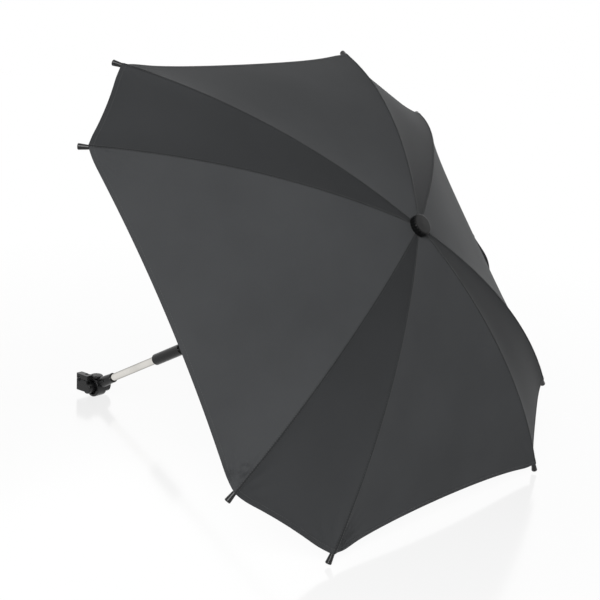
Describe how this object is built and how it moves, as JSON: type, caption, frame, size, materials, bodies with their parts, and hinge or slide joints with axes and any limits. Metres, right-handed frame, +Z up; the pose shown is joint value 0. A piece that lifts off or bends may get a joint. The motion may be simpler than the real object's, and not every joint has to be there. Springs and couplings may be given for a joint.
{
  "type": "pram parasol",
  "caption": "Square cut-corner parasol for a pram, with a folding ribbed canopy, tilting knuckle, telescopic pole and a swivelling clamp that grips a round bar.",
  "frame": {"origin": "centre of the round bar held by the clamp's jaws", "axes": "+Z up from the floor that the parasol lies on, +X from the clamp towards the crown, Y along the clamped bar"},
  "size_m": [0.7242, 0.7014, 0.5775],
  "materials": {
    "cloth": "matte plain weave, anthracite",
    "rib_steel": "black lacquered steel",
    "gloss_black": "glossy black moulding",
    "satin_black": "satin black moulding",
    "inner_plastic": "plain nylon",
    "chrome_tube": "bright chrome",
    "steel_hardware": "zinc-plated steel",
    "grip_rubber": "soft matte rubber"
  },
  "bodies": {
    "clamp": {"lower_jaw": "satin_black", "lower_pad": "grip_rubber", "swivel_bolt": "steel_hardware"},
    "upper_jaw": {"upper_jaw": "satin_black", "upper_pad": "grip_rubber"},
    "clamp_screw": {"clamp_screw": "steel_hardware"},
    "lock_button": {"lock_button": "satin_black"},
    "swivel_knob": {"swivel_knob": "satin_black"},
    "pole_socket": {"pole_socket": "satin_black", "socket_pin": "steel_hardware", "outer_tube": "chrome_tube"},
    "lock_collar": {"lock_collar": "gloss_black", "lock_collet": "inner_plastic"},
    "inner_pole": {"inner_tube": "chrome_tube", "slide_bush": "inner_plastic", "knuckle_fork": "satin_black", "knuckle_bolt": "steel_hardware", "knuckle_nut": "steel_hardware", "knuckle_washers": "inner_plastic"},
    "canopy_pole": {"upper_tube": "chrome_tube", "knuckle_tongue": "satin_black", "top_hub": "satin_black", "hub_pins": "steel_hardware", "crown_cap": "gloss_black"},
    "runner": {"runner": "satin_black"},
    "rib_1": {"rib_1": "rib_steel", "tip_cap_1": "gloss_black", "panel_1": "cloth"},
    "stretcher_1": {"stretcher_1": "rib_steel"},
    "rib_2": {"rib_2": "rib_steel", "tip_cap_2": "gloss_black", "panel_2": "cloth", "closing_strap": "cloth", "strap_button": "gloss_black"},
    "stretcher_2": {"stretcher_2": "rib_steel"},
    "rib_3": {"rib_3": "rib_steel", "tip_cap_3": "gloss_black", "panel_3": "cloth"},
    "stretcher_3": {"stretcher_3": "rib_steel"},
    "rib_4": {"rib_4": "rib_steel", "tip_cap_4": "gloss_black", "panel_4": "cloth"},
    "stretcher_4": {"stretcher_4": "rib_steel"},
    "rib_5": {"rib_5": "rib_steel", "tip_cap_5": "gloss_black", "panel_5": "cloth"},
    "stretcher_5": {"stretcher_5": "rib_steel"},
    "rib_6": {"rib_6": "rib_steel", "tip_cap_6": "gloss_black", "panel_6": "cloth"},
    "stretcher_6": {"stretcher_6": "rib_steel"},
    "rib_7": {"rib_7": "rib_steel", "tip_cap_7": "gloss_black", "panel_7": "cloth"},
    "stretcher_7": {"stretcher_7": "rib_steel"},
    "rib_8": {"rib_8": "rib_steel", "tip_cap_8": "gloss_black", "panel_8": "cloth"},
    "stretcher_8": {"stretcher_8": "rib_steel"}
  },
  "joints": [
    {"name": "jaw_slide", "type": "slide", "parent": "clamp", "child": "upper_jaw", "axis": [0, 0, 1], "range_m": [0, 0.012]},
    {"name": "clamp_turn", "type": "hinge", "parent": "upper_jaw", "child": "clamp_screw", "pos_m": [0.0096, 0.0028, 0.01], "axis": [0, 0, 1], "range_deg": [0, 1081]},
    {"name": "swivel_knob_turn", "type": "hinge", "parent": "clamp", "child": "swivel_knob", "pos_m": [0.0175, 0.0181, -0.0131], "axis": [0, 1, 0], "range_deg": [0, 360]},
    {"name": "pole_swivel", "type": "hinge", "parent": "clamp", "child": "pole_socket", "pos_m": [0.0175, 0.0181, -0.0131], "axis": [0, -1, 0], "range_deg": [-50, 30]},
    {"name": "button_press", "type": "slide", "parent": "pole_socket", "child": "lock_button", "axis": [0, 0, -1], "range_m": [0, 0.0015]},
    {"name": "collar_twist", "type": "hinge", "parent": "pole_socket", "child": "lock_collar", "pos_m": [0.01628, 0.0181, -0.01081], "axis": [0.8827, 0, 0.47], "range_deg": [0, 90]},
    {"name": "pole_slide", "type": "slide", "parent": "pole_socket", "child": "inner_pole", "axis": [0.8827, 0, 0.47], "range_m": [-0.09, 0]},
    {"name": "canopy_tilt", "type": "hinge", "parent": "inner_pole", "child": "canopy_pole", "pos_m": [0.45849, 0.0181, 0.22467], "axis": [0, -1, 0], "range_deg": [-7.1, 52.9]},
    {"name": "runner_slide", "type": "slide", "parent": "canopy_pole", "child": "runner", "axis": [-0.8178, 0, -0.5755], "range_m": [0, 0.1537]},
    {"name": "rib_1_fold", "type": "hinge", "parent": "canopy_pole", "child": "rib_1", "pos_m": [0.64263, 0.02593, 0.34007], "axis": [-0.3218, 0.829, 0.4573], "range_deg": [0, 66.1], "deforming": ["panel_1"]},
    {"name": "stretcher_1_turn", "type": "hinge", "parent": "rib_1", "child": "stretcher_1", "pos_m": [0.67439, 0.07896, 0.26627], "axis": [-0.3218, 0.829, 0.4573], "range_deg": [-132.1, 0]},
    {"name": "rib_2_fold", "type": "hinge", "parent": "canopy_pole", "child": "rib_2", "pos_m": [0.64046, 0.02971, 0.34315], "axis": [-0.4771, 0.5592, 0.678], "range_deg": [0, 66.1], "deforming": ["panel_2", "closing_strap", "strap_button"]},
    {"name": "stretcher_2_turn", "type": "hinge", "parent": "rib_2", "child": "stretcher_2", "pos_m": [0.65748, 0.10833, 0.29029], "axis": [-0.4771, 0.5592, 0.678], "range_deg": [-132.1, 0]},
    {"name": "rib_3_fold", "type": "hinge", "parent": "canopy_pole", "child": "rib_3", "pos_m": [0.63145, 0.02971, 0.35596], "axis": [-0.4771, -0.5592, 0.678], "range_deg": [0, 66.1], "deforming": ["panel_3"]},
    {"name": "stretcher_3_turn", "type": "hinge", "parent": "rib_3", "child": "stretcher_3", "pos_m": [0.58743, 0.10833, 0.38983], "axis": [-0.4771, -0.5592, 0.678], "range_deg": [-132.1, 0]},
    {"name": "rib_4_fold", "type": "hinge", "parent": "canopy_pole", "child": "rib_4", "pos_m": [0.62927, 0.02593, 0.35905], "axis": [-0.3218, -0.829, 0.4573], "range_deg": [0, 66.1], "deforming": ["panel_4"]},
    {"name": "stretcher_4_turn", "type": "hinge", "parent": "rib_4", "child": "stretcher_4", "pos_m": [0.57053, 0.07896, 0.41385], "axis": [-0.3218, -0.829, 0.4573], "range_deg": [-132.1, 0]},
    {"name": "rib_5_fold", "type": "hinge", "parent": "canopy_pole", "child": "rib_5", "pos_m": [0.62927, 0.01027, 0.35905], "axis": [0.3218, -0.829, -0.4573], "range_deg": [0, 66.1], "deforming": ["panel_5"]},
    {"name": "stretcher_5_turn", "type": "hinge", "parent": "rib_5", "child": "stretcher_5", "pos_m": [0.57053, -0.04276, 0.41385], "axis": [0.3218, -0.829, -0.4573], "range_deg": [-132.1, 0]},
    {"name": "rib_6_fold", "type": "hinge", "parent": "canopy_pole", "child": "rib_6", "pos_m": [0.63145, 0.00649, 0.35596], "axis": [0.4771, -0.5592, -0.678], "range_deg": [0, 66.1], "deforming": ["panel_6"]},
    {"name": "stretcher_6_turn", "type": "hinge", "parent": "rib_6", "child": "stretcher_6", "pos_m": [0.58743, -0.07213, 0.38983], "axis": [0.4771, -0.5592, -0.678], "range_deg": [-132.1, 0]},
    {"name": "rib_7_fold", "type": "hinge", "parent": "canopy_pole", "child": "rib_7", "pos_m": [0.64046, 0.00649, 0.34315], "axis": [0.4771, 0.5592, -0.678], "range_deg": [0, 66.1], "deforming": ["panel_7"]},
    {"name": "stretcher_7_turn", "type": "hinge", "parent": "rib_7", "child": "stretcher_7", "pos_m": [0.65748, -0.07213, 0.29029], "axis": [0.4771, 0.5592, -0.678], "range_deg": [-132.1, 0]},
    {"name": "rib_8_fold", "type": "hinge", "parent": "canopy_pole", "child": "rib_8", "pos_m": [0.64263, 0.01027, 0.34007], "axis": [0.3218, 0.829, -0.4573], "range_deg": [0, 66.1], "deforming": ["panel_8"]},
    {"name": "stretcher_8_turn", "type": "hinge", "parent": "rib_8", "child": "stretcher_8", "pos_m": [0.67439, -0.04276, 0.26627], "axis": [0.3218, 0.829, -0.4573], "range_deg": [-132.1, 0]}
  ],
  "couplings": [
    {"joint": "clamp_turn", "follows": "jaw_slide", "rad_per_m": 1570.8},
    {"joint": "rib_1_fold", "follows": "runner_slide", "rad_per_m": 7.4947},
    {"joint": "stretcher_1_turn", "follows": "runner_slide", "rad_per_m": -14.989},
    {"joint": "rib_2_fold", "follows": "runner_slide", "rad_per_m": 7.4947},
    {"joint": "stretcher_2_turn", "follows": "runner_slide", "rad_per_m": -14.989},
    {"joint": "rib_3_fold", "follows": "runner_slide", "rad_per_m": 7.4947},
    {"joint": "stretcher_3_turn", "follows": "runner_slide", "rad_per_m": -14.989},
    {"joint": "rib_4_fold", "follows": "runner_slide", "rad_per_m": 7.4947},
    {"joint": "stretcher_4_turn", "follows": "runner_slide", "rad_per_m": -14.989},
    {"joint": "rib_5_fold", "follows": "runner_slide", "rad_per_m": 7.4947},
    {"joint": "stretcher_5_turn", "follows": "runner_slide", "rad_per_m": -14.989},
    {"joint": "rib_6_fold", "follows": "runner_slide", "rad_per_m": 7.4947},
    {"joint": "stretcher_6_turn", "follows": "runner_slide", "rad_per_m": -14.989},
    {"joint": "rib_7_fold", "follows": "runner_slide", "rad_per_m": 7.4947},
    {"joint": "stretcher_7_turn", "follows": "runner_slide", "rad_per_m": -14.989},
    {"joint": "rib_8_fold", "follows": "runner_slide", "rad_per_m": 7.4947},
    {"joint": "stretcher_8_turn", "follows": "runner_slide", "rad_per_m": -14.989}
  ]
}
